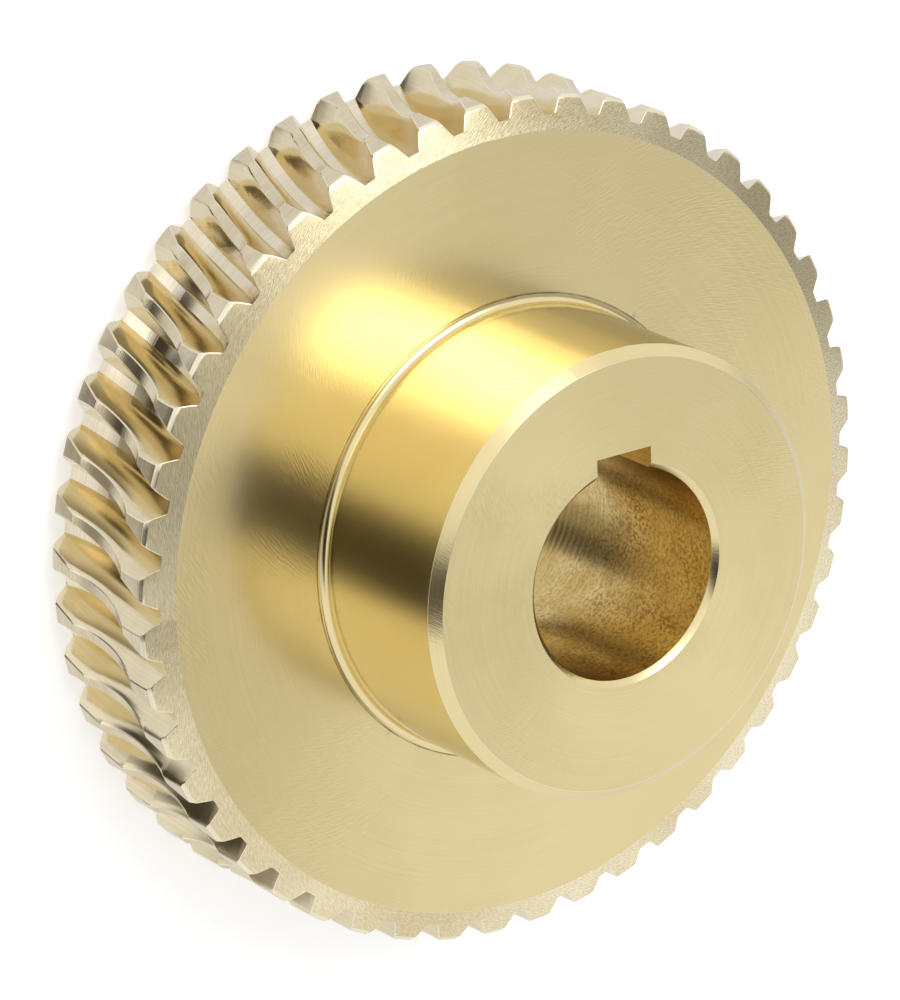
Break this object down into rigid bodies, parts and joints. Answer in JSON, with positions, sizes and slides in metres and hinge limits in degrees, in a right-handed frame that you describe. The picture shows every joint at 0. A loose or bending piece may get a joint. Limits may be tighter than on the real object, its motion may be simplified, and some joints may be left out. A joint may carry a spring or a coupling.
{
  "type": "worm wheel",
  "caption": "Throated worm wheel with skewed hobbed teeth, a stout hub on one side, and a keyed through bore.",
  "frame": {"origin": "where the bore axis crosses the middle plane of the throat, in which the axis of the mating worm lies", "axes": "+Z along the bore axis towards the free end of the hub; +Y through the middle of the keyway"},
  "size_m": [0.1614, 0.1614, 0.0678],
  "materials": {
    "brass": "satin, fine turned"
  },
  "bodies": {
    "root": {"worm_wheel": "brass"}
  },
  "joints": []
}
